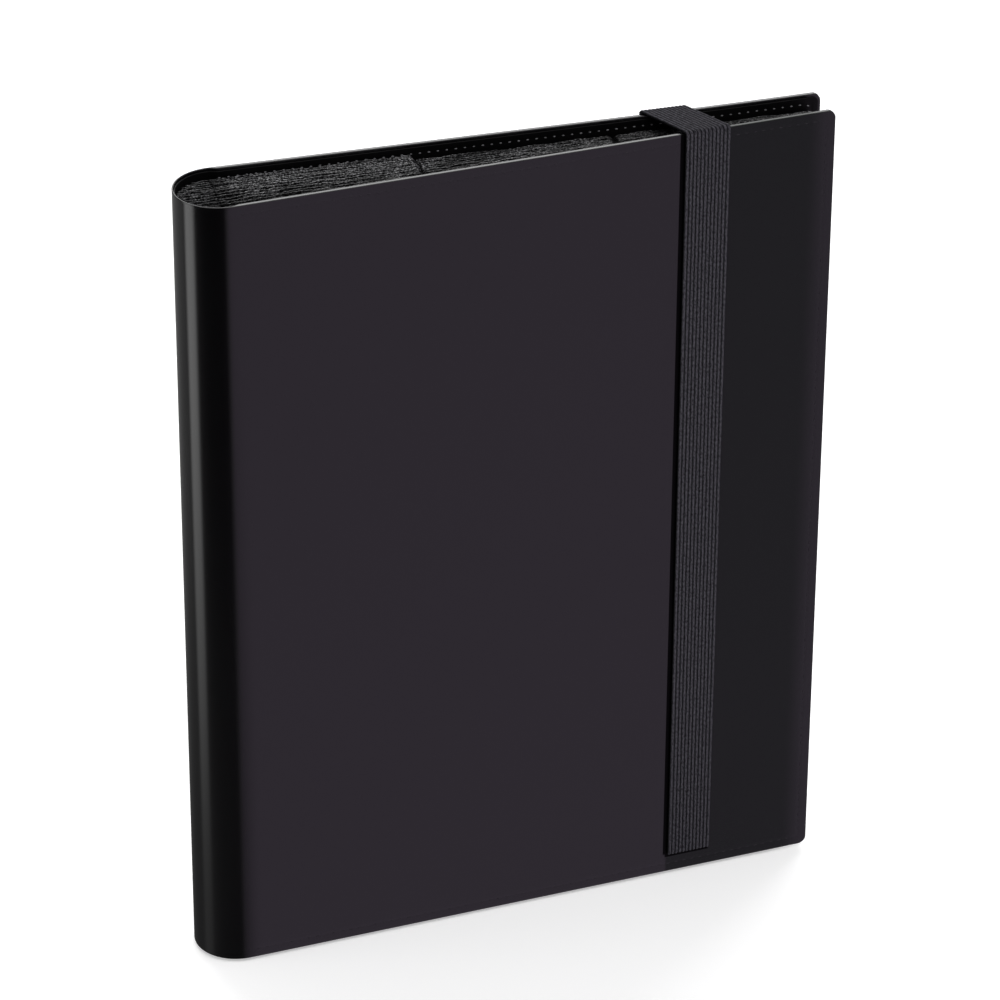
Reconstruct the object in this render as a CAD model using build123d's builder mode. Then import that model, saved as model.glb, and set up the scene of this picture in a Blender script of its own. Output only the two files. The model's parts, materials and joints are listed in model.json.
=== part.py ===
"""A soft-cover pocket album, closed by a wide elastic strap and standing on its bottom edge.

One sheet of leatherette wraps round from the front panel, over a round spine, to the back panel. Each
panel holds a stiff board between the leatherette and a lining, and is sewn round its three free sides.
Twenty leaves are sewn between spacer strips and bonded into the spine. Each leaf is a black sheet with
three columns of clear pockets on each face. The strap is one ring of elastic, threaded through a slit
low in the front panel, and it goes over the top of both panels, down the back and round underneath.

Millimetres. +X runs from the spine to the fore-edge, the front panel faces -Y and +Z is up. The origin
is at the middle of the underside of the whole object, which is the underside of the strap.
"""

import os
from math import asin, atan2, cos, degrees, hypot, radians, sin

from build123d import *

# Leaves
leaf_count = 20
leaf_height = 272.0
sheet_thickness = 0.2
film_thickness = 0.08
column_count = 3
column_pitch = 67.0
column_gap = 2.0
film_margin = 1.5  # from a leaf's edges to its pockets
crease_gap = 0.3  # on each side of the line that a leaf turns about
spine_pitch = 1.28  # from leaf to leaf where they are bound
fore_gap = 0.128  # between leaves at the fore-edge, where they lie closer
leaf_clearance = 0.35  # between the outer leaves and the linings

# Covers
cover_above_leaf = 5.0
cover_below_leaf = 9.0
cover_past_leaf = 3.9  # at the fore-edge
skin_thickness = 0.6
board_thickness = 0.9
lining_thickness = 0.4
corner_radius = 3.0
turn_in = 5.0  # rim of leatherette folded over round the board
lining_inset = 1.0
fold_gap = 0.3  # between a panel and the spine, where only the leatherette's fold joins them
board_setback = 1.0  # from the fold to the board
board_gap = 0.2  # round the edges of a board, inside its turned-in rim
layer_gap = 0.02  # glue line between two layers

# Seam round each panel
seam_inset = 3.3
thread_width = 0.5
thread_height = 0.12

# Binding
margin_width = 5.0
margin_drop = 2.0  # how far the bound margins stop short of the leaves' top and bottom
spacer_gap = 0.04
thread_radius = 0.35
thread_clearance = 0.1
stitch_count = 16
knot_radius = 0.9
knot_thickness = 0.35
bed_gap = 0.1

# Strap
strap_width = 15.6
strap_thickness = 1.0
strap_gap = 0.2  # between the strap and the panels
strap_inset = 45.2  # from the fore-edge to the strap's middle
strap_skew = 9.0  # how much nearer the spine it goes over the back panel's top edge
strap_rounding = 0.6
slit_height = 7.6  # from the panels' bottom edge to the middle of the slit
slit_clearance = 0.3

leaf_thickness = sheet_thickness + 2 * film_thickness
leaf_width = film_margin + column_count * column_pitch
half_block = spine_pitch * (leaf_count - 1) / 2  # from the middle of the block to the outermost leaf
half_fore = (leaf_thickness + fore_gap) * (leaf_count - 1) / 2

panel_thickness = skin_thickness + board_thickness + lining_thickness + 2 * layer_gap
cover_height = cover_below_leaf + leaf_height + cover_above_leaf
spine_radius = half_block + leaf_thickness / 2 + leaf_clearance + thread_height + panel_thickness
floor_gap = strap_thickness + strap_gap  # the panels' bottom edges stand this far above the strap's underside

# Each panel leans towards the other, so that it follows the outermost leaf from the spine to the fore-edge
block_at_spine = half_block + leaf_thickness / 2
block_at_fore = half_fore + leaf_thickness / 2
lean = asin(block_at_spine / hypot(leaf_width, block_at_fore)) - atan2(block_at_fore, leaf_width)

# The panels' length along the slope, and the spine's centre line, with the origin midway to the fore-edge
fore_edge_reach = leaf_width + cover_past_leaf
panel_width = (fore_edge_reach - spine_radius * sin(lean)) / cos(lean)
spine_x = (spine_radius - fore_edge_reach) / 2
front, back = -1, 1


def panel_plane(side):
    """A panel's outer face: x along it from the fold, y up from its bottom edge, and z towards the front."""
    return Plane(
        origin=(spine_x + spine_radius * sin(lean), side * spine_radius * cos(lean), floor_gap),
        x_dir=(cos(lean), -side * sin(lean), 0),
        z_dir=(-side * sin(lean), -cos(lean), 0),
    )


def at_depth(side, depth):
    """A panel's plane, moved inwards from its outer face."""
    return panel_plane(side).offset(side * depth)


def panel_slab(side, depth, thickness, inset_fold, inset_edge, corner):
    """A flat layer of a panel, held back from the fold and from the three free edges."""
    width = panel_width - inset_fold - inset_edge
    height = cover_height - 2 * inset_edge
    with BuildPart() as slab:
        with BuildSketch(at_depth(side, depth)) as outline:
            with Locations((inset_fold + width / 2, cover_height / 2)):
                Rectangle(width, height)
            fillet(outline.vertices().group_by(Axis.X)[-1], corner)
        extrude(amount=side * thickness)
    return slab.part


def slit_cutter(side):
    """The slit that the strap passes through, right through a panel."""
    with BuildPart() as cutter:
        with BuildSketch(at_depth(side, -1)):
            with Locations((panel_width - strap_inset, slit_height)):
                Rectangle(strap_width + 2 * slit_clearance, strap_thickness + 2 * slit_clearance)
        extrude(amount=side * (panel_thickness + 2))
    return cutter.part


def save(part, name):
    part.label = name
    export_step(part, f"parts/{name}.step")


def panel_skin(side):
    """Leatherette of one panel, with its edges turned in round the board."""
    rim_depth = board_thickness + layer_gap
    with BuildPart() as skin:
        add(panel_slab(side, 0, skin_thickness + rim_depth, fold_gap, 0, corner_radius))
        with BuildSketch(at_depth(side, skin_thickness)):
            width = panel_width - turn_in
            with Locations((width / 2, cover_height / 2)):
                Rectangle(width, cover_height - 2 * turn_in)
        extrude(amount=side * rim_depth, mode=Mode.SUBTRACT)
        if side == front:
            add(slit_cutter(side), mode=Mode.SUBTRACT)
    return skin.part


def panel_board(side):
    with BuildPart() as board:
        depth = skin_thickness + layer_gap / 2
        add(panel_slab(side, depth, board_thickness, board_setback, turn_in + board_gap, board_gap))
        if side == front:
            add(slit_cutter(side), mode=Mode.SUBTRACT)
    return board.part


def panel_lining(side):
    with BuildPart() as lining:
        depth = skin_thickness + board_thickness + 2 * layer_gap
        add(panel_slab(side, depth, lining_thickness, fold_gap, lining_inset, corner_radius - lining_inset))
        if side == front:
            add(slit_cutter(side), mode=Mode.SUBTRACT)
    return lining.part


def panel_seam(side):
    """The sewing thread round three sides of a panel: one line on the outer face and one on the lining."""
    with BuildPart() as seam:
        for depth, direction in ((0, -side), (panel_thickness, side)):
            with BuildSketch(at_depth(side, depth)):
                with BuildLine():
                    near, far = seam_inset, panel_width - seam_inset
                    low, high = seam_inset, cover_height - seam_inset
                    FilletPolyline((near, low), (far, low), (far, high), (near, high), radius=corner_radius)
                    offset(amount=thread_width / 2, kind=Kind.INTERSECTION)
                make_face()
            extrude(amount=direction * thread_height)
    return seam.part


os.makedirs("parts", exist_ok=True)

for side, name in ((front, "front"), (back, "back")):
    save(panel_skin(side), f"{name}_cover_skin")
    save(panel_board(side), f"{name}_cover_board")
    save(panel_lining(side), f"{name}_cover_lining")
    save(panel_seam(side), f"{name}_cover_seam")


# Spine: the leatherette and the lining go round in an arc that ends square to each panel
def spine_layer(outer, thickness, height, bottom):
    end = 90 - degrees(lean)  # from +X to each end of the arc
    with BuildPart() as layer:
        with BuildSketch(Plane.XY.offset(bottom)):
            with BuildLine(Location((spine_x, 0))):
                wide = CenterArc((0, 0), outer, end, 360 - 2 * end)
                tight = CenterArc((0, 0), outer - thickness, end, 360 - 2 * end)
                Line(wide @ 0, tight @ 0)
                Line(wide @ 1, tight @ 1)
            make_face()
        extrude(amount=height)
    return layer.part


spine_lining_radius = spine_radius - skin_thickness - layer_gap
spine_inner_radius = spine_lining_radius - lining_thickness
save(spine_layer(spine_radius, skin_thickness, cover_height, floor_gap), "spine_skin")
spine_lining_height = cover_height - 2 * lining_inset
save(
    spine_layer(spine_lining_radius, lining_thickness, spine_lining_height, floor_gap + lining_inset),
    "spine_lining",
)


# Leaves: evenly spaced along their creases, and closer together at the fore-edge
def leaf_place(number):
    """The y of a leaf's crease, and the angle it leans towards +Y. Leaf 0 is next to the front panel."""
    share = 2 * number / (leaf_count - 1) - 1
    crease_y, edge_y = share * half_block, share * half_fore
    return crease_y, atan2(edge_y - crease_y, leaf_width)


def leaf_plane(number):
    crease_y, turn = leaf_place(number)
    return Plane(
        origin=(spine_x, crease_y, floor_gap + cover_below_leaf),
        x_dir=(cos(turn), sin(turn), 0),
        z_dir=(sin(turn), -cos(turn), 0),
    )


def leaf_sheet(number):
    with BuildPart() as sheet:
        with BuildSketch(leaf_plane(number)):
            with Locations(((crease_gap + leaf_width) / 2, leaf_height / 2)):
                Rectangle(leaf_width - crease_gap, leaf_height)
        extrude(amount=sheet_thickness / 2, both=True)
    return sheet.part


def leaf_pockets(number):
    """Three columns of clear film on each face of a leaf, each column a separate strip."""
    film_width = column_pitch - column_gap
    film_height = leaf_height - 2 * film_margin
    with BuildPart() as pockets:
        for face in (-1, 1):
            with BuildSketch(leaf_plane(number).offset(face * sheet_thickness / 2)):
                first = film_margin + film_width / 2
                for column in range(column_count):
                    with Locations((first + column * column_pitch, leaf_height / 2)):
                        Rectangle(film_width, film_height)
            extrude(amount=face * film_thickness)
    return pockets.part


for number in range(leaf_count):
    save(leaf_sheet(number), f"leaf_{number + 1:02d}")
    save(leaf_pockets(number), f"leaf_{number + 1:02d}_pockets")


# Binding: the leaves' margins and the strips between them, sewn together and bonded into the spine
margin_height = leaf_height - 2 * margin_drop
margin_bottom = floor_gap + cover_below_leaf + margin_drop
stitch_x = spine_x - crease_gap - margin_width / 2
stitch_pitch = margin_height / stitch_count
spacer_thickness = spine_pitch - sheet_thickness - 2 * spacer_gap


def stitch_places():
    """Where the stitches go through the binding, seen along +Y."""
    middle = margin_bottom + margin_height / 2
    return Plane(origin=(stitch_x, 0, middle), x_dir=(1, 0, 0), z_dir=(0, -1, 0))


def bound_strips(centres, thickness):
    """Strips standing side by side, each with a hole for every stitch."""
    with BuildPart() as strips:
        for centre in centres:
            with BuildSketch(stitch_places().offset(-centre)):
                Rectangle(margin_width, margin_height)
                with GridLocations(0, stitch_pitch, 1, stitch_count):
                    Circle(thread_radius + thread_clearance, mode=Mode.SUBTRACT)
            extrude(amount=thickness / 2, both=True)
    return strips.part


crease_ys = [leaf_place(number)[0] for number in range(leaf_count)]
spacer_ys = [(one + other) / 2 for one, other in zip(crease_ys, crease_ys[1:])]
save(bound_strips(crease_ys, sheet_thickness), "leaf_margins")
save(bound_strips(spacer_ys, spacer_thickness), "binding_spacers")

stitch_reach = half_block + sheet_thickness / 2 + spacer_gap
with BuildPart() as stitches:
    with BuildSketch(stitch_places()):
        with GridLocations(0, stitch_pitch, 1, stitch_count):
            Circle(thread_radius)
    extrude(amount=stitch_reach, both=True)
    for end in (-1, 1):
        with BuildSketch(stitch_places().offset(end * stitch_reach)):
            with GridLocations(0, stitch_pitch, 1, stitch_count):
                Circle(knot_radius)
        extrude(amount=end * knot_thickness)
save(stitches.part, "binding_stitches")

# Hot-melt bed between the bound edges and the spine's lining
bed_radius = spine_inner_radius - bed_gap
bed_front = stitch_x - margin_width / 2 - bed_gap - spine_x
with BuildPart() as bed:
    with BuildSketch(Plane.XY.offset(margin_bottom)):
        with Locations((spine_x, 0)):
            Circle(bed_radius)
        with Locations((spine_x + bed_front, 0)):
            Rectangle(2 * bed_radius, 4 * bed_radius, align=(Align.MIN, Align.CENTER), mode=Mode.SUBTRACT)
    extrude(amount=margin_height)
save(bed.part, "glue_bed")


# Strap: one ring, in through the slit, under and up the back panel, over the top and down the front
strap_near = panel_width - strap_inset - strap_width / 2
strap_far = strap_near + strap_width
outside = -strap_gap - thread_height  # depth of the strap's inner face, where it lies on a panel
inside = panel_thickness + thread_height + strap_gap  # and where it lies inside the front panel
outermost = outside - strap_thickness
slit_low = floor_gap + slit_height - strap_thickness / 2
slit_high = slit_low + strap_thickness
ring_top = floor_gap + cover_height + strap_gap + strap_thickness


def strap_line(side, depth, shift=0):
    """The line across the strap's width, in plan, at a depth inwards from a panel's outer face."""
    plane = at_depth(side, depth)
    corners = [plane.from_local_coords((along - shift, 0, 0)) for along in (strap_near, strap_far)]
    return [(corner.X, corner.Y) for corner in corners]


def strap_run(one, other, bottom, top):
    """An upright prism between two such lines."""
    with BuildPart() as run:
        with BuildSketch(Plane.XY.offset(bottom)):
            with BuildLine():
                Polyline(*one, *reversed(other), close=True)
            make_face()
        extrude(amount=top - bottom)
    return run.part


def back_run():
    """The run down the back panel, which slants from the skewed top to a bottom in line with the slit."""
    low, high = -floor_gap, ring_top - floor_gap
    with BuildPart() as run:
        with BuildSketch(at_depth(back, outermost)):
            with BuildLine():
                Polyline(
                    (strap_near, low),
                    (strap_far, low),
                    (strap_far - strap_skew, high),
                    (strap_near - strap_skew, high),
                    close=True,
                )
            make_face()
        extrude(amount=back * strap_thickness)
    return run.part


with BuildPart() as strap:
    add(back_run())
    add(strap_run(strap_line(front, outermost), strap_line(front, outside), slit_low, ring_top))
    over_back = strap_line(back, outermost, strap_skew)
    add(strap_run(strap_line(front, outermost), over_back, ring_top - strap_thickness, ring_top))
    add(strap_run(strap_line(front, inside), strap_line(back, outermost), 0, strap_thickness))
    inner_face = strap_line(front, inside + strap_thickness)
    add(strap_run(strap_line(front, inside), inner_face, 0, slit_high))
    add(strap_run(strap_line(front, outermost), inner_face, slit_low, slit_high))
    top_edges = strap.edges().group_by(Axis.Z)[-1].sort_by(Axis.Y)
    fillet([top_edges[0], top_edges[-1]], strap_rounding)
save(strap.part, "strap")
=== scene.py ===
import json
from math import asin, atan2, cos, degrees, exp, pi, radians, sin, sqrt

import bpy
import numpy as np
from mathutils import Matrix, Vector


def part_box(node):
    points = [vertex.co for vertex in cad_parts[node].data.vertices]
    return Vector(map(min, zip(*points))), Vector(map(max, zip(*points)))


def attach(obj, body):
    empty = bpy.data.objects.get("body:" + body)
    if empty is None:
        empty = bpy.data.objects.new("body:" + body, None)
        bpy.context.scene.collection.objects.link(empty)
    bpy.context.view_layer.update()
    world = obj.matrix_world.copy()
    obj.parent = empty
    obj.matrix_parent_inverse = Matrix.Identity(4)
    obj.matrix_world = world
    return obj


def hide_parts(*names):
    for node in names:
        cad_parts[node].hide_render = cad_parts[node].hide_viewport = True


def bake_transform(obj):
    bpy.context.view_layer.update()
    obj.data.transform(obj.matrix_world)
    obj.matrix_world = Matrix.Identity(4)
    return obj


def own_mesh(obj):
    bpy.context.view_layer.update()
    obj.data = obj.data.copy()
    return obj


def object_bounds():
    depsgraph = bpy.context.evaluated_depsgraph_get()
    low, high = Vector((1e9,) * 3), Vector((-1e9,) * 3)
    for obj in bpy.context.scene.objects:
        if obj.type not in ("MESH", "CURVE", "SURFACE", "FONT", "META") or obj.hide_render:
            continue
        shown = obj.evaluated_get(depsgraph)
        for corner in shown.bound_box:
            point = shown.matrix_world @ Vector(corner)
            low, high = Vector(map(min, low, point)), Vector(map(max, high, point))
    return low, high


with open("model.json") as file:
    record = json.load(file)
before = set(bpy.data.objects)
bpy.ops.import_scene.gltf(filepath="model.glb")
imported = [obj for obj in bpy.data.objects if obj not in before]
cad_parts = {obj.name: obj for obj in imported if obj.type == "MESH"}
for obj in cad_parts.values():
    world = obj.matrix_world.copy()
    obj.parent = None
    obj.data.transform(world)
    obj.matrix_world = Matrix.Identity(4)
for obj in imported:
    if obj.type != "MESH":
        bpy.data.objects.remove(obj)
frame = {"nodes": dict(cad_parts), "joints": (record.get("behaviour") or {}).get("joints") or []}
cad_low, cad_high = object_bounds()
mm = 0.001


# --- Leatherette -------------------------------------------------------------------------------------
# One sheet of black polyurethane leatherette goes from the front panel round the spine to the back one.
# Its edges are folded in round the boards, and the folded edge is rounded and catches the light. It is
# made here as two wraps that meet at the middle of the spine.
front, back = -1, 1
skin_low, skin_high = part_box("spine_skin")
spine_radius = (skin_high.y - skin_low.y) / 2
spine_x = skin_low.x + spine_radius
cover_foot, cover_top = skin_low.z, skin_high.z
cover_height = cover_top - cover_foot
joints = {joint["name"]: joint for joint in frame["joints"]}
fold_x, fold_y = joints["back_cover_open"]["pos_m"][:2]
lean = asin((fold_x - spine_x) / spine_radius)
cad_panel_depth = 1.5 * mm
cover_width = (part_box("back_cover_skin")[1].x - fold_x - cad_panel_depth * sin(lean)) / cos(lean)

panel_skin_depth = 1.52 * mm  # leatherette, board and turned-in rim
spine_skin_depth = 0.6 * mm
fold_softness = 1.2 * mm  # how gradually the spine's curve runs out into the flat panel
corner_radius = 3.0 * mm
edge_rounding = 0.36 * mm
seam_inset = 3.3 * mm
seam_groove = 0.06 * mm
seam_groove_width = 0.45 * mm
flare_start = 62 * mm  # the back panel curls away from the leaves over this last stretch
flare = 1.1 * mm
bend_end = 7 * mm  # how far past the fold the closely spaced rings go


def plan_curve():
    """The outside of the leatherette seen from above, as (along, x, y, heading) for the back half."""
    along = np.linspace(cover_width, -1.75 * spine_radius, 6000)
    step = along[0] - along[1]

    def curve(radius):
        turned = fold_softness / radius * np.logaddexp(0, -along / fold_softness)
        heading = -lean + turned
        x = fold_x + cover_width * cos(lean) - np.cumsum(np.cos(heading)) * step
        y = fold_y - cover_width * sin(lean) + np.cumsum(-np.sin(heading)) * step
        stop = int(np.argmax(heading >= pi / 2))
        return x, y, heading, stop

    # Closes in on the radius that brings the middle of the spine midway between the two covers.
    small, large = 0.7 * spine_radius, 1.1 * spine_radius
    for _ in range(40):
        radius = (small + large) / 2
        x, y, heading, stop = curve(radius)
        if y[stop] > 0:
            small = radius
        else:
            large = radius
    return tuple(values[: stop + 1][::-1] for values in (along, x, y, heading))


plan_along, plan_x, plan_y, plan_heading = plan_curve()
spine_middle = plan_along[0]


def cover_point(side, along, depth, height):
    """A point of a cover: along it from its fold, in from its outer face, and up from its bottom edge."""
    heading = np.interp(along, plan_along, plan_heading)
    x = np.interp(along, plan_along, plan_x) + depth * np.sin(heading)
    y = np.interp(along, plan_along, plan_y) - depth * np.cos(heading)
    if side == back:
        y = y + flare * np.clip((along - cover_width + flare_start) / flare_start, 0, 1) ** 2
    return np.stack(np.broadcast_arrays(x, side * y, cover_foot + height), axis=-1)


def groove(along, height):
    """How far the seam pulls a face in."""
    edge = np.minimum(cover_width - along, np.minimum(height, cover_height - height))
    return seam_groove * np.exp(-(((edge - seam_inset) / seam_groove_width) ** 2))


def ripple(along, height):
    """The slight unevenness of a glued soft cover."""
    long_wave = np.sin(along / (31 * mm) + 1.3) * np.sin(height / (47 * mm) + 0.4)
    short_wave = np.sin(along / (13 * mm) + height / (29 * mm))
    return (0.035 * long_wave + 0.012 * short_wave) * mm


def spaced(low, high, seam, count):
    """Positions from low to high, closer together near the ends and round the seam at each end."""
    close = np.array([0, 0.35, 0.8, 1.4, 2.0, 2.5, 2.85, 3.1, 3.3, 3.5, 3.75, 4.1, 4.6, 5.4, 6.8]) * mm
    close = close * (seam / seam_inset)
    middle = np.linspace(low + close[-1], high - close[-1], count)
    return np.concatenate([low + close[:-1], middle, (high - close[:-1])[::-1]])


def mesh_piece(name, points, faces, smooth=True):
    mesh = bpy.data.meshes.new(name)
    mesh.from_pydata([tuple(point) for point in points], [], faces)
    mesh.validate()
    mesh.polygons.foreach_set("use_smooth", [smooth] * len(mesh.polygons))
    mesh.update()
    piece = bpy.data.objects.new(name, mesh)
    bpy.context.scene.collection.objects.link(piece)
    return piece


def skinned_rings(name, rings, looped=False):
    """A closed mesh through rings of points, capped at both ends unless the last ring meets the first."""
    count, size = len(rings), len(rings[0])
    faces = []
    for ring in range(count if looped else count - 1):
        here, there = ring * size, (ring + 1) % count * size
        for point in range(size):
            after = (point + 1) % size
            faces.append((here + point, there + point, there + after, here + after))
    if not looped:
        faces.append(tuple(range(size)))
        faces.append(tuple(reversed(range((count - 1) * size, count * size))))
    piece = mesh_piece(name, np.concatenate(rings), faces)
    if not looped:
        for cap in piece.data.polygons[-2:]:
            cap.use_smooth = False
    outward(piece)
    return piece


def outward(piece):
    """Turns a closed mesh's faces to point outwards, by the sign of its volume."""
    mesh = piece.data
    mesh.calc_loop_triangles()
    corners = np.array([vertex.co for vertex in mesh.vertices])
    triangles = np.array([triangle.vertices for triangle in mesh.loop_triangles])
    one, two, three = corners[triangles[:, 0]], corners[triangles[:, 1]], corners[triangles[:, 2]]
    if np.einsum("ij,ij->", one, np.cross(two, three)) < 0:
        mesh.flip_normals()


def cover_layer(name, side, depth_of, thickness_of, inset, rounding, faces_ripple, start=None):
    """A layer of a cover from the middle of the spine, or a start, to the fore-edge, with rounded edges."""
    flat = spaced(0, cover_width - inset, max(seam_inset - inset, 1 * mm), 46)
    flat = flat[flat > bend_end]
    bend = [[spine_middle, spine_middle + 0.03 * mm], np.linspace(spine_middle, bend_end, 60)[1:]]
    end_arc = cover_width - inset - rounding * (1 - np.sin(np.linspace(0, pi / 2, 6)))
    corner = max(corner_radius - inset, rounding)
    corner_arc = cover_width - inset - corner * (1 - np.sin(np.linspace(0, pi / 2, 10)[:-1]))
    stations = np.unique(np.round(np.concatenate([*bend, flat, corner_arc, end_arc]), 7))
    stations = stations[stations >= (spine_middle if start is None else start) - 1e-7]
    edge = inset + rounding
    rows = spaced(edge, cover_height - edge, max(seam_inset - edge, 1 * mm), 44)
    share = (rows - rows[0]) / (rows[-1] - rows[0])
    turn = np.linspace(0, pi / 2, 6)[1:]
    rings = []
    for along in stations:
        past = max(0.0, along - (cover_width - inset - corner))
        drop = corner - sqrt(max(0.0, corner**2 - past**2)) if past else 0.0
        end = max(0.0, along - (cover_width - inset - rounding))
        thin = rounding - sqrt(max(0.0, rounding**2 - end**2)) if end else 0.0
        outer, thick = depth_of(along) + thin, thickness_of(along) - 2 * thin
        round_off = min(rounding, thick / 2 * 0.98)
        trimmed = inset + drop + thin * 0.5 + round_off
        low, high = trimmed, cover_height - inset - drop - thin * 0.5 - round_off
        heights = low + share * (high - low)
        shape = groove(along, heights) + (ripple(along, heights) if faces_ripple else 0)
        shape = shape if along > 0 else shape * exp(along / (4 * mm))
        pulled = groove(along, heights) if along > 0 else np.zeros(len(heights))
        inner = outer + thick
        # Up the outer face, over the top edge, down the inner face and round the bottom edge. The two
        # bottom arcs run the same way as the top ones, so the section doubles back on itself there.
        out_cut, out_rise = round_off * (1 - np.cos(turn)), round_off * np.sin(turn)
        in_cut, in_rise = out_cut[::-1], out_rise[::-1]
        depth = [outer + shape, outer + out_cut, inner - in_cut]
        depth += [(inner - pulled)[::-1], inner - in_cut, outer + out_cut]
        height = [heights, high + out_rise, high + in_rise]
        height += [heights[::-1], low - in_rise, low - out_rise]
        rings.append(cover_point(side, along, np.concatenate(depth), np.concatenate(height)))
    return skinned_rings(name, rings)


def ease(value, low, high):
    share = min(1.0, max(0.0, (value - low) / (high - low)))
    return share * share * (3 - 2 * share)


def skin_thickness(along):
    return spine_skin_depth + (panel_skin_depth - spine_skin_depth) * ease(along, 0, 3 * mm)


class Flow:
    """A value on its way through a material, so that shader maths is written as arithmetic."""

    def __init__(self, finish, socket):
        self.finish, self.socket = finish, socket

    def maths(self, operation, *others, swap=False):
        values = (*others, self) if swap else (self, *others)
        return self.finish.add("ShaderNodeMath", {"operation": operation}, dict(enumerate(values)))

    def __add__(self, other):
        return self.maths("ADD", other)

    def __sub__(self, other):
        return self.maths("SUBTRACT", other)

    def __rsub__(self, other):
        return self.maths("SUBTRACT", other, swap=True)

    def __mul__(self, other):
        return self.maths("MULTIPLY", other)

    def __pow__(self, other):
        return self.maths("POWER", other)

    __radd__, __rmul__ = __add__, __mul__

    def between(self, low, high):
        """0 below low and 1 above high, with a smooth step between."""
        smooth = {"interpolation_type": "SMOOTHSTEP"}
        sockets = {"Value": self, "From Min": low, "From Max": high}
        return self.finish.add("ShaderNodeMapRange", smooth, sockets)


class Finish:
    """A material with one Principled shader. The values it is made with are the same all over."""

    def __init__(self, name, **values):
        self.material = bpy.data.materials.new(name)
        self.material.use_nodes = True
        self.nodes, self.links = self.material.node_tree.nodes, self.material.node_tree.links
        self.shader = self.nodes["Principled BSDF"]
        self.feed(self.shader, {key.replace("_", " "): value for key, value in values.items()})

    def feed(self, node, sockets):
        for key, value in sockets.items():
            socket = node.inputs[key]
            if isinstance(value, Flow):
                self.links.new(value.socket, socket)
            elif isinstance(value, tuple) and len(value) == 3 and socket.type == "RGBA":
                socket.default_value = (*value, 1)
            else:
                socket.default_value = value

    def add(self, kind, settings=None, sockets=None, output=0):
        node = self.nodes.new(kind)
        for key, value in (settings or {}).items():
            setattr(node, key, value)
        self.feed(node, sockets or {})
        return Flow(self, node.outputs[output])

    def places(self):
        """Object coordinates in millimetres, as a vector and as x, y and z."""
        place = self.add("ShaderNodeTexCoord", output="Object")
        place = self.add("ShaderNodeVectorMath", {"operation": "SCALE"}, {0: place, "Scale": 1000.0})
        split = self.add("ShaderNodeSeparateXYZ", sockets={0: place}).socket.node
        return place, *(Flow(self, socket) for socket in split.outputs)

    def noise(self, place, scale, detail=2.0, roughness=0.5):
        sockets = {"Vector": place, "Scale": scale, "Detail": detail, "Roughness": roughness}
        return self.add("ShaderNodeTexNoise", None, sockets)

    def mixed(self, share, low, high):
        """A colour between two, by a share from 0 to 1."""
        node = self.add("ShaderNodeMix", {"data_type": "RGBA"}).socket.node
        for index, value in ((0, share), (6, low), (7, high)):
            if isinstance(value, Flow):
                self.links.new(value.socket, node.inputs[index])
            else:
                node.inputs[index].default_value = (*value, 1) if isinstance(value, tuple) else value
        return Flow(self, node.outputs[2])

    def bumped(self, height, distance, strength=1.0):
        sockets = {"Height": height, "Distance": distance, "Strength": strength}
        self.feed(self.shader, {"Normal": self.add("ShaderNodeBump", None, sockets)})

    def vary(self, **values):
        self.feed(self.shader, {key.replace("_", " "): value for key, value in values.items()})


strap_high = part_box("strap")[1]
strap_edge = strap_high.x - 16.2 * mm  # the strap's edge nearer the spine, on the front panel
slit_height = joints["strap_release"]["pos_m"][2] - cover_foot


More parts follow.
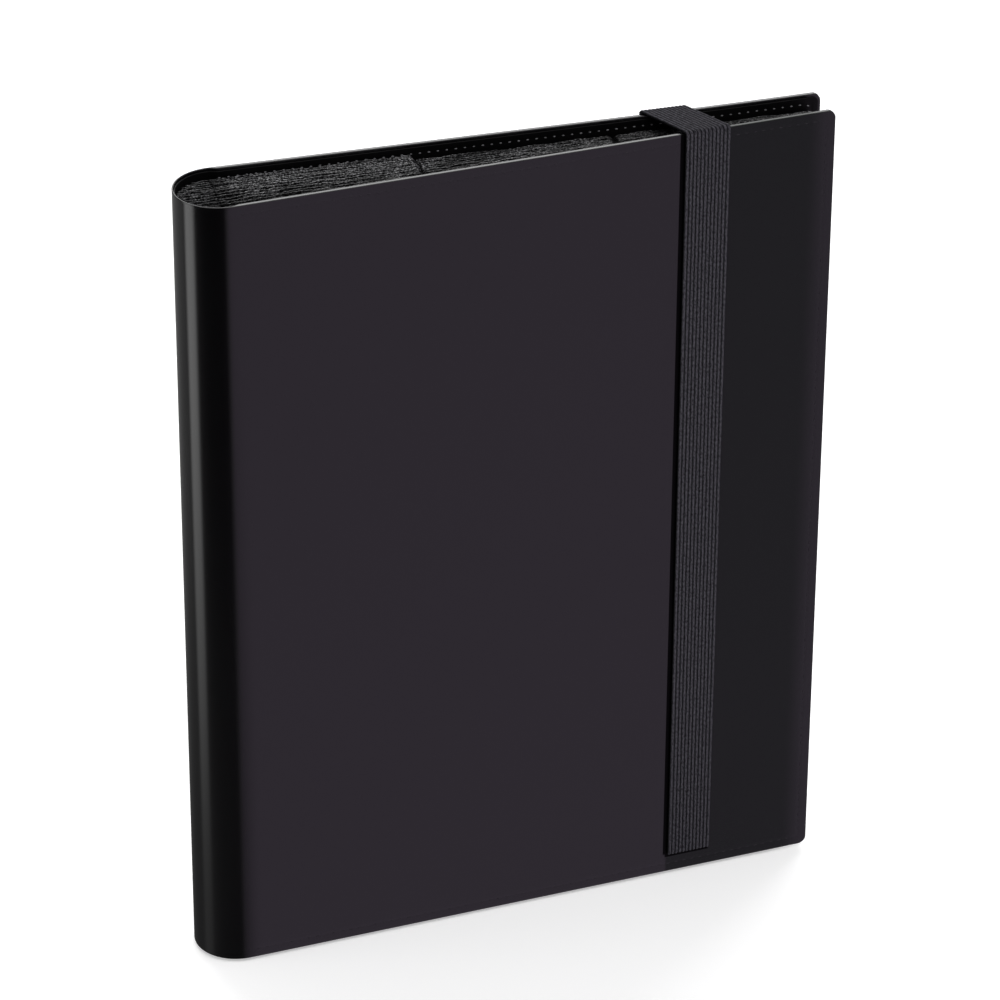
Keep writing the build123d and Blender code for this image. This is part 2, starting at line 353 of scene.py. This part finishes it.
def leatherette():
    """Fine pebbled grain, with painted shadow beside the strap and under its end, painted shade between it
    and the fore-edge, and painted light low on the spine.
    """
    finish = Finish("leatherette", IOR=1.5, Specular_IOR_Level=0.05, Coat_Roughness=0.16, Coat_IOR=1.5)
    place, x, y, z = finish.places()
    cells = finish.add("ShaderNodeTexVoronoi", {"feature": "SMOOTH_F1"}, {"Vector": place, "Scale": 1.35})
    fine = finish.noise(place, 2.6, 3.0)
    cloud = finish.noise(place, 0.02, 3.0)
    edge, fore_edge = strap_edge / mm, (fold_x + cover_width * cos(lean)) / mm
    front_face = 1 - y.between(-1.0, 1.0)
    # Painted shade: from the strap to near the fore-edge the front is painted darker, with a greener tint,
    # and its coat halved, as if that strip reflects less light. It eases off over the last few millimetres.
    painted_shade_past_strap = x.between(edge - 0.5, edge + 0.5)
    painted_shade_past_strap = painted_shade_past_strap * (1 - x.between(fore_edge - 10, fore_edge - 2) * 0.8) * front_face
    slit = (cover_foot + slit_height) / mm
    # Painted shadow: a thin dark line beside the strap's edge down to the slit, and a dark strip under the
    # strap's lower end, both painted near black with no coat.
    beside = x.between(edge - 1.2, edge - 0.9) * (1 - x.between(edge + 0.6, edge + 0.9))
    beside = beside * z.between(slit - 0.9, slit)
    below = x.between(edge - 0.6, edge) * (1 - x.between(edge + 15.6, edge + 16.2))
    below = below * z.between(slit - 1.7, slit - 1.4) * (1 - z.between(slit + 1, slit + 2))
    painted_strap_shadow = (beside + below * (1 - beside)) * front_face
    # Painted light on the spine: towards its foot the colour is painted lighter, standing in for reflected
    # light, and the coat fades out, so the spine's highlight fades downwards.
    on_spine = 1 - x.between(fold_x / mm - 6, fold_x / mm + 5)
    lower_spine = on_spine * (1 - z.between(cover_foot / mm, cover_top / mm))
    plain = finish.mixed(cloud.between(0.35, 0.65), (0.0009, 0.0007, 0.0011), (0.0013, 0.0011, 0.0015))
    plain = finish.mixed(painted_shade_past_strap, plain, (0.0003, 0.0030, 0.0010))
    spine_foot_painted_light = finish.mixed(lower_spine, plain, (0.0042, 0.0041, 0.0045))
    finish.vary(
        Base_Color=finish.mixed(painted_strap_shadow, spine_foot_painted_light, (0.0005, 0.0005, 0.0006)),
        Roughness=0.36 + fine * 0.12,
        Coat_Weight=(1 - painted_shade_past_strap * 0.5 - lower_spine * 0.96) * (1 - cloud * 0.08) * (1 - painted_strap_shadow),
    )
    finish.bumped(cells * 0.6 + fine * 0.4, 0.05 * mm, 0.25)
    return finish.material


leatherette_finish = leatherette()
bend_margin = 3.2 * mm


def on_cover(piece, side):
    """Bakes a layer's transform into its mesh. The points either side of its fold are worked out but not
    used.
    """
    start = cover_point(side, -bend_margin, 0, cover_height / 2)
    end = cover_point(side, bend_margin, 0, cover_height / 2)
    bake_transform(piece)


for side, name in ((front, "front"), (back, "back")):
    wrap = cover_layer(
        f"{name}_leatherette",
        side,
        lambda along: 0.0,
        skin_thickness,
        0.0,
        edge_rounding,
        True,
    )
    wrap.data.materials.append(leatherette_finish)
    on_cover(wrap, side)
    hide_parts(f"{name}_cover_skin", "spine_skin")


# --- Linings -----------------------------------------------------------------------------------------
# A thin smooth black sheet is glued over the folded-in edges, one millimetre short of the cover's edge,
# and runs on round the inside of the spine. It is also made in two halves.
lining_inset = 1.0 * mm
lining_depth = 0.4 * mm
glue_gap = 0.02 * mm


def lining():
    finish = Finish("lining", IOR=1.46, Specular_IOR_Level=0.2, Base_Color=(0.0012, 0.0012, 0.0013))
    place, _, _, _ = finish.places()
    fine = finish.noise(place, 3.5, 3.0)
    finish.vary(Roughness=0.42 + fine * 0.12)
    finish.bumped(fine, 0.02 * mm, 0.3)
    return finish.material


lining_finish = lining()
for side, name in ((front, "front"), (back, "back")):
    sheet = cover_layer(
        f"{name}_lining",
        side,
        lambda along: skin_thickness(along) + glue_gap,
        lambda along: lining_depth,
        lining_inset,
        0.17 * mm,
        False,
    )
    sheet.data.materials.append(lining_finish)
    on_cover(sheet, side)
    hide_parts(f"{name}_cover_lining", "spine_lining")


# --- Boards ------------------------------------------------------------------------------------------
# A sheet of grey board stiffens each cover, inside the leatherette and its folded-in rim. It follows the
# cover's curl and shows only where the cover is cut.
board_skin = 0.62 * mm
board_thickness = 0.88 * mm
board_rim = 5.2 * mm


def grey_board():
    finish = Finish("grey_board", Roughness=0.9)
    place, _, _, _ = finish.places()
    fibre = finish.noise(place, 1.8, 5.0, 0.7)
    finish.vary(Base_Color=finish.mixed(fibre, (0.30, 0.27, 0.23), (0.50, 0.46, 0.41)))
    finish.bumped(fibre, 0.05 * mm, 0.6)
    return finish.material


board_finish = grey_board()
for side, name in ((front, "front"), (back, "back")):
    board = cover_layer(
        f"{name}_board",
        side,
        lambda along: board_skin,
        lambda along: board_thickness,
        board_rim,
        0.1 * mm,
        False,
        1.0 * mm,
    )
    board.data.materials.append(board_finish)
    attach(board, f"{name}_cover")
    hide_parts(f"{name}_cover_board")


# --- Seams -------------------------------------------------------------------------------------------
# Each cover is sewn round its three free sides, right through, with a twisted polyester thread. The
# stitches lie in the groove they pull, and show on the outer face and on the lining.
stitch_pitch = 3.0 * mm
stitch_width = 0.5 * mm
thread_sink = 0.17 * mm  # how far the outer stitches are pressed into the leatherette


def seam_path(side, inside):
    """The seam's line, from the fold round the fore-edge and back to the fold."""
    near, far = 3.5 * mm, cover_width - seam_inset
    low, high = seam_inset, cover_height - seam_inset
    bend = corner_radius
    turn = np.linspace(0, pi / 2, 7)
    run = np.arange(near, far - bend, 4 * mm)
    rise = np.arange(low + bend, high - bend, 4 * mm)
    along = [run, far - bend + bend * np.sin(turn), np.full(len(rise), far)]
    along += [far - bend + bend * np.cos(turn), run[::-1]]
    height = [np.full(len(run), low), low + bend - bend * np.cos(turn), rise]
    height += [high - bend + bend * np.sin(turn), np.full(len(run), high)]
    along, height = np.concatenate(along), np.concatenate(height)
    inner = panel_skin_depth + glue_gap + lining_depth - seam_groove
    depth = inner if inside else seam_groove + thread_sink + ripple(along, height)
    return cover_point(side, along, depth, height)


def stitch_tree(material):
    """Turns a curve into a row of stitches: small ellipsoids of thread end to end along it."""
    tree = bpy.data.node_groups.new("row_of_stitches", "GeometryNodeTree")
    sockets = tree.interface
    sockets.new_socket("Line", in_out="INPUT", socket_type="NodeSocketGeometry")
    for name in ("Pitch", "Length", "Width"):
        sockets.new_socket(name, in_out="INPUT", socket_type="NodeSocketFloat")
    sockets.new_socket("Stitches", in_out="OUTPUT", socket_type="NodeSocketGeometry")

    def node(kind, settings=None, **links):
        made = tree.nodes.new(kind)
        for key, value in (settings or {}).items():
            setattr(made, key, value)
        for key, value in links.items():
            socket = made.inputs[key.replace("_", " ")]
            if isinstance(value, bpy.types.NodeSocket):
                tree.links.new(value, socket)
            else:
                socket.default_value = value
        return made

    given = tree.nodes.new("NodeGroupInput")
    result = tree.nodes.new("NodeGroupOutput")
    along_line = {"Curve": given.outputs["Line"], "Length": given.outputs["Pitch"]}
    points = node("GeometryNodeCurveToPoints", {"mode": "LENGTH"}, **along_line)
    thread = node("GeometryNodeMeshUVSphere", Segments=8, Rings=6, Radius=0.5)
    size = node(
        "ShaderNodeCombineXYZ",
        X=given.outputs["Width"],
        Y=given.outputs["Width"],
        Z=given.outputs["Length"],
    )
    uneven = node("FunctionNodeRandomValue", Seed=7)
    uneven.inputs[2].default_value, uneven.inputs[3].default_value = 0.9, 1.05
    scaled = node("ShaderNodeVectorMath", {"operation": "SCALE"})
    tree.links.new(size.outputs[0], scaled.inputs[0])
    tree.links.new(uneven.outputs[1], scaled.inputs["Scale"])
    row = node(
        "GeometryNodeInstanceOnPoints",
        Points=points.outputs["Points"],
        Instance=thread.outputs["Mesh"],
        Rotation=points.outputs["Rotation"],
        Scale=scaled.outputs[0],
    )
    solid = node("GeometryNodeRealizeInstances", Geometry=row.outputs[0])
    smooth = node("GeometryNodeSetShadeSmooth", Geometry=solid.outputs[0])
    finished = node("GeometryNodeSetMaterial", Geometry=smooth.outputs[0], Material=material)
    tree.links.new(finished.outputs[0], result.inputs[0])
    return tree


def stitched(name, path, tree, length):
    """A row of stitches along a path, as a plain mesh."""
    line = bpy.data.curves.new(name, "CURVE")
    line.dimensions = "3D"
    spline = line.splines.new("POLY")
    spline.points.add(len(path) - 1)
    for point, place in zip(spline.points, path):
        point.co = (*place, 1)
    guide = bpy.data.objects.new(f"{name}_guide", line)
    bpy.context.scene.collection.objects.link(guide)
    sewn = guide.modifiers.new("stitches", "NODES")
    sewn.node_group = tree
    inputs = {item.name: item.identifier for item in tree.interface.items_tree if item.in_out == "INPUT"}
    for key, value in (("Pitch", stitch_pitch), ("Length", length), ("Width", stitch_width)):
        sewn[inputs[key]] = value
    evaluated = guide.evaluated_get(bpy.context.evaluated_depsgraph_get())
    mesh = bpy.data.meshes.new_from_object(evaluated)
    mesh.name = name
    bpy.data.objects.remove(guide)
    piece = bpy.data.objects.new(name, mesh)
    bpy.context.scene.collection.objects.link(piece)
    return piece


def thread(name, low, high, gloss):
    finish = Finish(name, Roughness=0.55, Specular_IOR_Level=0.25, Coat_Weight=gloss, Coat_Roughness=0.25)
    place, _, _, _ = finish.places()
    twist = finish.noise(place, 4.0, 2.0)
    finish.vary(Base_Color=finish.mixed(twist, low, high))
    finish.bumped(twist, 0.05 * mm, 0.5)
    return finish.material


outer_stitches = stitch_tree(thread("outer_thread", (0.004, 0.0035, 0.005), (0.010, 0.009, 0.011), 0.45))
# The thread is dark on both faces; the pale grey of the inner thread is a painted glint, for the dots of
# light along the lining.
inner_stitches = stitch_tree(thread("inner_thread", (0.10, 0.10, 0.11), (0.34, 0.34, 0.35), 0.0))
for side, name in ((front, "front"), (back, "back")):
    for inside, tree, length in ((False, outer_stitches, 2.3 * mm), (True, inner_stitches, 0.85 * mm)):
        face = "inner" if inside else "outer"
        row = stitched(f"{name}_{face}_stitches", seam_path(side, inside), tree, length)
        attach(row, f"{name}_cover")
        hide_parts(f"{name}_cover_seam")


# --- Leaves ------------------------------------------------------------------------------------------
# A leaf is a black polypropylene sheet with clear film welded to both faces in three columns, and across
# into rows. The welded top edge is knurled and wavy, and dips where two columns meet.
leaf_names = sorted(name for name in frame["nodes"] if name[:5] == "leaf_" and name[5:].isdigit())
last_low, last_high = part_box(leaf_names[-1])
sheet_depth = 0.2 * mm
film_depth = 0.08 * mm
leaf_reach = last_high.x - spine_x
leaf_foot, leaf_top = last_low.z, last_high.z
fore_half = last_low.y + sheet_depth / 2
crease_half = joints[f"{leaf_names[-1]}_turn"]["pos_m"][1]
column_pitch = 67 * mm
column_gap = 2 * mm
film_margin = 1.5 * mm
row_count = 3
weld_width = 2.2 * mm
knurl_pitch = 1.7 * mm
dip_depth = 1.3 * mm
column_lift = 1.95 * mm  # the first column stands a little taller
slump_depth = 2.3 * mm  # the leaves nearest the front cover sag by this at the spine
slumped_leaves = 13
slump_reach = 45 * mm
lifted_leaves = 14  # the lift grows over this many leaves, counted from the front cover
top_stretch = 5 * mm  # the rows this near the top move with it
bow_reach = 45 * mm  # the leaves bow out of flat over this much of their height
station_pitch = 0.62 * mm


def uneven(along, scale, seed):
    """A wavering line between -1 and 1, always the same for a seed."""
    phases = np.random.default_rng(seed).uniform(0, 2 * pi, 4)
    waves = [np.sin(along / scale * rate + phase) for rate, phase in zip((1, 1.7, 2.9, 4.3), phases)]
    return sum(waves) / len(waves)


def leaf_rings(along, number, spread):
    """Rings of points round a leaf's section at each place along it, wavy towards the top."""
    share = 2 * number / (len(leaf_names) - 1) - 1
    crease_y, fore_y = share * crease_half, share * fore_half
    turn = atan2(fore_y - crease_y, leaf_reach)
    height = leaf_top - leaf_foot
    row_lines = [height * row / row_count for row in range(1, row_count)]
    rows = [0, 0.25, 0.8, 1.6, 2.6, 4]
    top_rows = [height - value * mm for value in (0, 0.12, 0.35, 0.8, 1.5, 2.3, 3.2, 5, 9, 16, 30)]
    seam_rows = [line + value * mm for line in row_lines for value in (-2.2, -1.2, -0.9, 0.9, 1.2, 2.2)]
    heights = np.array(sorted([value * mm for value in rows] + seam_rows + top_rows))
    common = uneven(along, 23 * mm, 5)
    own = uneven(along, 9 * mm, 100 + number)
    jagged = uneven(along, 1.9 * mm, 300 + number)
    column_place = (along - film_margin + column_gap / 2) % column_pitch
    gap_distance = np.minimum(column_place, column_pitch - column_place)
    dip = dip_depth * np.exp(-((gap_distance / (0.9 * mm)) ** 2)) * (along > 20 * mm) * (along < 180 * mm)
    chipped = np.random.default_rng(900 + number).uniform(-1, 1, len(along))
    slump = slump_depth * max(0.0, 1 - number / slumped_leaves) * np.exp(-((along / slump_reach) ** 2))
    rise = (0.30 * own + 0.16 * jagged + 0.13 * chipped - 0.2) * mm - dip * (slump < 0.5 * mm) - slump
    first_column = along < film_margin + column_pitch - column_gap / 2
    rise = rise + column_lift * min(1.0, number / lifted_leaves) * first_column
    rings = []
    for index, place in enumerate(along):
        top_share = np.clip((heights - height + bow_reach) / bow_reach, 0, 1) ** 2
        bow = common[index] * 0.15 * mm * (0.3 + 0.7 * top_share)
        bow = bow + own[index] * spread(place) * top_share
        weld = (heights > height - weld_width) | (heights < weld_width)
        for line in row_lines:
            weld = weld | (abs(heights - line) < 1 * mm)
        knurl = 0.03 * mm * (1 if int(place / (knurl_pitch / 2)) % 2 else -1)
        film = gap_distance[index] > column_gap / 2
        half = sheet_depth / 2 + film_depth * film * np.where(weld, 0.35, 1.0)
        half = half + np.where(weld, knurl + 0.012 * mm * jagged[index], 0)
        tall = heights + rise[index] * np.clip((heights - height + top_stretch) / top_stretch, 0, 1)
        across = np.concatenate([bow - half, (bow + half)[::-1]])
        level = np.concatenate([tall, tall[::-1]])
        x = spine_x + place * cos(turn) - across * sin(turn)
        y = crease_y + place * sin(turn) + across * cos(turn)
        rings.append(np.stack([x, y, leaf_foot + level], axis=-1))
    return rings


def black_leaf():
    """Clear film over black sheet: glossy, with a haze of fine scratches and a frosted weld, painted glints
    on the weld and painted shade.
    """
    finish = Finish("black_leaf", IOR=1.49, Specular_IOR_Level=0.3, Coat_Roughness=0.16, Coat_IOR=1.49)
    place, x, y, z = finish.places()
    haze = finish.noise(place, 0.6, 4.0, 0.6)
    grain = finish.noise(place, 1.5, 4.0, 0.75)
    welded = z.between((leaf_top - 0.9 * mm) / mm, (leaf_top - 0.3 * mm) / mm)
    patch = finish.noise(place, 0.07, 2.0).between(0.36, 0.62)
    # Painted shade: just below the weld the leaves lose most of their coat, fading back in by 30 mm down, so
    # the gaps between the leaves look darker.
    near_top = z.between((leaf_top - 30 * mm) / mm, (leaf_top - 10 * mm) / mm)
    # Painted shade: the leaves nearest the front cover are darker, most of all towards the spine, with their
    # glints and coat cut down.
    shaded = (1 - y.between(-8, 4)) * (1 - x.between(spine_x / mm + 15, spine_x / mm + 130) * 0.75)
    # Painted highlight: pale glints along the welded top edge are painted into the colour, dimmed where the
    # painted shade falls.
    painted_glint = welded * grain.between(0.48, 0.62) * (0.25 + patch * 0.75) * (1 - shaded * 0.8)
    finish.vary(
        Base_Color=finish.mixed(painted_glint, (0.0016, 0.0016, 0.0018), (0.42, 0.42, 0.43)),
        Roughness=0.26 + haze * 0.14,
        Coat_Weight=grain.between(0.35, 0.6) * (1 - near_top * 0.88 * (1 - welded)) * (1 - shaded * 0.8),
    )
    finish.bumped(haze * 0.3 + grain * (0.15 + welded * 0.85), 0.25 * mm, 0.6)
    return finish.material


leaf_finish = black_leaf()
leaf_stations = [np.linspace(0.05 * mm, 3 * mm, 5), np.arange(3.6 * mm, leaf_reach, station_pitch)]
leaf_stations = np.concatenate([*leaf_stations, [leaf_reach]])
for number, name in enumerate(leaf_names):
    rings = leaf_rings(
        leaf_stations,
        number,
        lambda place: 0.28 * mm * (1 - place / leaf_reach) + 0.015 * mm,
    )
    page = skinned_rings(f"{name}_page", rings)
    page.data.materials.append(leaf_finish)
    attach(page, name)
    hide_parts(name, f"{name}_pockets")


# --- Binding -----------------------------------------------------------------------------------------
# The leaves' bound margins stand side by side with spacer strips between them, sewn through and set in
# black hot-melt against the spine's lining. The margins reach back to the round of the spine.
bed_low, bed_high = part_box("glue_bed")
bound_radius = (bed_high.y - bed_low.y) / 2 + 0.9 * mm


def bound_margins():
    points, faces = [], []
    for number in range(len(leaf_names)):
        share = 2 * number / (len(leaf_names) - 1) - 1
        crease_y = share * crease_half
        reach = sqrt(max(bound_radius**2 - crease_y**2, (5.4 * mm) ** 2)) - 0.2 * mm
        along = np.linspace(-reach, -0.05 * mm, max(4, int(reach / (0.8 * mm))))
        own, jagged = uneven(along, 4 * mm, 500 + number), uneven(along, 1.9 * mm, 700 + number)
        top = leaf_top - 0.35 * mm + (0.25 * own + 0.15 * jagged) * mm
        top = top - slump_depth * max(0.0, 1 - number / slumped_leaves)
        top = top + column_lift * min(1.0, number / lifted_leaves)
        bow = 0.12 * mm * own
        half = sheet_depth / 2 + film_depth * 0.4 + 0.02 * mm * jagged
        rings = []
        for place, level, offset, thick in zip(along, top, bow, half):
            low = leaf_foot + 2 * mm
            peak = level + thick * 0.5
            section = ((-thick, low), (-thick, level), (0, peak), (thick, level), (thick, low))
            rings.append([(spine_x + place, crease_y + offset + across, z) for across, z in section])
        start, size = len(points), len(rings[0])
        for ring in rings:
            points.extend(ring)
        for ring in range(len(rings) - 1):
            here = start + ring * size
            for point in range(size):
                after = (point + 1) % size
                faces.append((here + point, here + after, here + size + after, here + size + point))
        faces.append(tuple(reversed(range(start, start + size))))
        faces.append(tuple(range(start + (len(rings) - 1) * size, start + len(rings) * size)))
    piece = mesh_piece("bound_margins", points, faces, smooth=False)
    outward(piece)
    return piece


margins = bound_margins()
margins.data.materials.append(leaf_finish)
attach(margins, "spine")
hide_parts("leaf_margins")


def hot_melt():
    finish = Finish("hot_melt", IOR=1.48)
    place, _, _, _ = finish.places()
    lumps = finish.noise(place, 0.35, 4.0, 0.6)
    finish.vary(
        Base_Color=finish.mixed(lumps, (0.006, 0.006, 0.007), (0.016, 0.016, 0.017)),
        Roughness=0.32 + lumps * 0.2,
    )
    finish.bumped(lumps, 0.4 * mm, 0.7)
    return finish.material


def refinish(node, material):
    """Gives a CAD node a new material."""
    piece = frame["nodes"][node]
    piece.data.materials.clear()
    piece.data.materials.append(material)


refinish("glue_bed", hot_melt())
refinish("binding_spacers", leaf_finish)
refinish("binding_stitches", thread("binding_thread", (0.02, 0.02, 0.022), (0.05, 0.05, 0.052), 0.0))


# --- Strap -------------------------------------------------------------------------------------------
# A wide band of ribbed elastic, knitted over rubber cords that make its ribs. It is sewn into a ring
# through a slit low in the front cover, and goes up the front, slanting over the top, down the back
# cover and round underneath.
strap_depth = 1.0 * mm
strap_clear = 0.32 * mm
rib_count = 12
rib_samples = 6
strap_bend = 0.95 * mm
strap_width = 15.6 * mm
strap_inset = 45.2 * mm
strap_skew = 9.0 * mm
strap_near = cover_width - strap_inset - strap_width / 2
panel_depth = 1.94 * mm


def ring_corners(across):
    """The corners of the ring's middle line, at a place across the strap's width."""
    along = strap_near + across
    middle = strap_depth / 2
    out, into = -strap_clear - middle, panel_depth + strap_clear + middle
    over = cover_height + strap_clear - 0.1 * mm + middle
    under = -(cover_foot - cad_low.z) + middle
    corners = [
        cover_point(front, along, out, slit_height),
        cover_point(front, along, out, over),
        cover_point(back, along - strap_skew, out, over),
        cover_point(back, along, out, under),
        cover_point(front, along, into, under),
        cover_point(front, along, into, slit_height),
    ]
    return [Vector(corner) for corner in corners]


def ring_line(across):
    """The ring's middle line with its corners rounded, as evenly matched points."""
    corners = ring_corners(across)
    line = []
    for index, corner in enumerate(corners):
        before, after = corners[index - 1], corners[(index + 1) % len(corners)]
        back_way, on_way = (before - corner).normalized(), (after - corner).normalized()
        start, end = corner + back_way * strap_bend, corner + on_way * strap_bend
        for step in np.linspace(0, 1, 7):
            line.append(start * (1 - step) ** 2 + corner * 2 * step * (1 - step) + end * step**2)
        far_end = after - on_way * strap_bend
        pieces = max(2, int((far_end - end).length / (5 * mm)))
        for step in range(1, pieces):
            line.append(end.lerp(far_end, step / pieces))
    return line


def elastic_ring():
    edges = [ring_line(0), ring_line(strap_width)]
    count = min(len(edge) for edge in edges)
    near, far = (np.array(edge)[:count] for edge in edges)
    centre = (near + far) / 2
    tangent = np.roll(centre, -1, axis=0) - np.roll(centre, 1, axis=0)
    normal = np.cross(tangent, far - near)
    normal /= np.linalg.norm(normal, axis=1)[:, None]
    inside = centre.mean(axis=0)
    if ((centre - inside) * normal).sum() < 0:
        normal = -normal
    share = np.linspace(0, 1, rib_count * rib_samples + 1)
    rib = np.abs(np.sin(pi * rib_count * share)) ** 0.8
    edge_round = np.minimum(1, np.sqrt(np.minimum(share, 1 - share) * strap_width / (0.35 * mm) + 0.02))
    face = strap_depth / 2 * edge_round - 0.20 * mm * (1 - rib)
    face = np.maximum(face, 0.12 * mm)
    travel = np.concatenate([[0], np.cumsum(np.linalg.norm(np.diff(centre, axis=0), axis=1))])
    rings, weave = [], []
    for index in range(count):
        wander = 0.06 * mm * sin(travel[index] / (9 * mm)) + 0.04 * mm * sin(travel[index] / (3.7 * mm))
        line = near[index] + share[:, None] * (far[index] - near[index])
        top = line + normal[index] * (face[:, None] + wander * 0.3)
        under = line - normal[index] * face[:, None]
        rings.append(np.concatenate([top, under[::-1]]))
        across = np.concatenate([share, share[::-1]]) * strap_width / mm
        ribs = np.concatenate([rib, rib[::-1]])
        weave += [(place, travel[index] / mm, height) for place, height in zip(across, ribs)]
    piece = skinned_rings("elastic_strap", rings, looped=True)
    knit = piece.data.attributes.new("knit", "FLOAT_VECTOR", "POINT")
    knit.data.foreach_set("vector", np.array(weave, np.float32).ravel())
    return piece


def ribbed_elastic():
    """Knitted cover thread over rubber: ribs painted pale as a highlight, valleys painted dark as shade, and
    short slanting stitches.
    """
    finish = Finish("ribbed_elastic", Roughness=0.85, Specular_IOR_Level=0.15, IOR=1.4)
    knit = finish.add("ShaderNodeAttribute", {"attribute_name": "knit"}, output="Vector")
    split = finish.add("ShaderNodeSeparateXYZ", sockets={0: knit}).socket.node
    across, travel, rib = (Flow(finish, socket) for socket in split.outputs)
    slant = (travel * 5.4 + across * 9.0).maths("SINE") * 0.5 + 0.5
    place = finish.add("ShaderNodeCombineXYZ", sockets={"X": across * 1.6, "Y": travel * 0.7})
    fuzz = finish.noise(place, 1.3, 4.0, 0.7)
    # The ribs' tops are painted pale as a highlight and their valleys dark as shade; the slant and fuzz are
    # the knit's own tone.
    lit = (rib ** 1.4 * 0.85 + 0.15) * (0.12 + slant * 0.28 + fuzz.between(0.32, 0.68) * 0.95)
    finish.vary(Base_Color=finish.mixed(lit.between(0.0, 1.1), (0.003, 0.003, 0.004), (0.074, 0.071, 0.084)))
    finish.bumped(rib * 0.5 + slant * 0.35 + fuzz * 0.4, 0.35 * mm, 0.8)
    return finish.material


strap = elastic_ring()
strap.data.materials.append(ribbed_elastic())
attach(strap, "strap")
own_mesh(strap)
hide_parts("strap")


# --- Floor, light and camera -------------------------------------------------------------------------
# A pale seamless floor, lit by the world alone: a broad dim card in front, a narrow bright one to the left
# that draws the line down the spine, a bright one high behind for the top edges, and a glow overhead.
floor_mesh = bpy.data.meshes.new("floor")
floor_half = 6.0
floor_corners = [(x * floor_half, y * floor_half, 0) for x, y in ((-1, -1), (1, -1), (1, 1), (-1, 1))]
floor_mesh.from_pydata(floor_corners, [], [(0, 1, 2, 3)])
floor = bpy.data.objects.new("floor", floor_mesh)
floor.location.z = cad_low.z
bpy.context.scene.collection.objects.link(floor)
floor_finish = Finish("pale_floor", Roughness=0.9, Specular_IOR_Level=0.0, Emission_Strength=0.42)
floor_finish.vary(Base_Color=(0.86, 0.86, 0.86), Emission_Color=(1.0, 1.0, 1.0))
floor_mesh.materials.append(floor_finish.material)
floor.visible_glossy = False
floor.visible_shadow = False

world = bpy.data.worlds.new("studio")
world.use_nodes = True
bpy.context.scene.world = world


class Sky(Finish):
    """The studio's light as a function of direction."""

    fade = 8  # degrees to each side over which a card's top and bottom edges fade

    def __init__(self, tree):
        self.nodes, self.links = tree.nodes, tree.links
        self.shader = self.nodes["Background"]

    def card(self, azimuth, width, low, high, softness=8.0):
        """1 inside a soft-edged card, azimuth and height in degrees as seen from the album."""
        direction = self.add("ShaderNodeTexCoord", output="Generated")
        split = self.add("ShaderNodeSeparateXYZ", sockets={0: direction}).socket.node
        x, y, z = (Flow(self, socket) for socket in split.outputs)
        facing = x * cos(radians(azimuth)) + y * sin(radians(azimuth))
        aside = y * cos(radians(azimuth)) - x * sin(radians(azimuth))
        bearing = aside.maths("ARCTAN2", facing).maths("ABSOLUTE") * degrees(1)
        height = z.maths("ARCSINE") * degrees(1)
        side = 1 - bearing.between(width / 2 - softness / 2, width / 2 + softness / 2)
        above = height.between(low - self.fade, low + self.fade)
        return side * above * (1 - height.between(high - self.fade, high + self.fade))


sky = Sky(world.node_tree)
in_front = sky.card(-42, 90, -70, 25, 14)
glow = (
    0.006
    + in_front * 0.52
    + sky.card(175, 28, -70, 35, 12) * 2.1
    + sky.card(112, 84, -70, 20) * 0.24
    + sky.card(71, 70, 22, 60) * 3.8
    + sky.card(-60, 90, 46, 70) * 1.6
    + sky.card(0, 400, 38, 95) * 0.8
    + sky.card(48, 84, -70, 10) * 0.4
)
tint = sky.mixed(in_front, (1.0, 1.0, 1.0), (1.03, 0.87, 1.12))
sky.feed(sky.shader, {"Strength": glow, "Color": tint})

camera_data = bpy.data.cameras.new("camera")
camera_data.lens = 183.2
camera = bpy.data.objects.new("camera", camera_data)
bpy.context.scene.collection.objects.link(camera)
bpy.context.scene.camera = camera
turned, raised, tilted, away = radians(-18.47), radians(30.07), radians(0.33), 1673.4 * mm
sight = Vector((-sin(turned) * cos(raised), cos(turned) * cos(raised), -sin(raised)))
aim = Vector((spine_x + 88.9 * mm, -16.05 * mm, cover_foot + cover_height / 2 + 22.35 * mm))
camera.rotation_mode = "QUATERNION"
camera.location = aim - sight * away
roll = Matrix.Rotation(tilted, 3, "Z").to_quaternion()
camera.rotation_quaternion = sight.to_track_quat("-Z", "Y") @ roll
camera_data.clip_start, camera_data.clip_end = 0.05, 50
bpy.context.scene.view_settings.view_transform = "Standard"
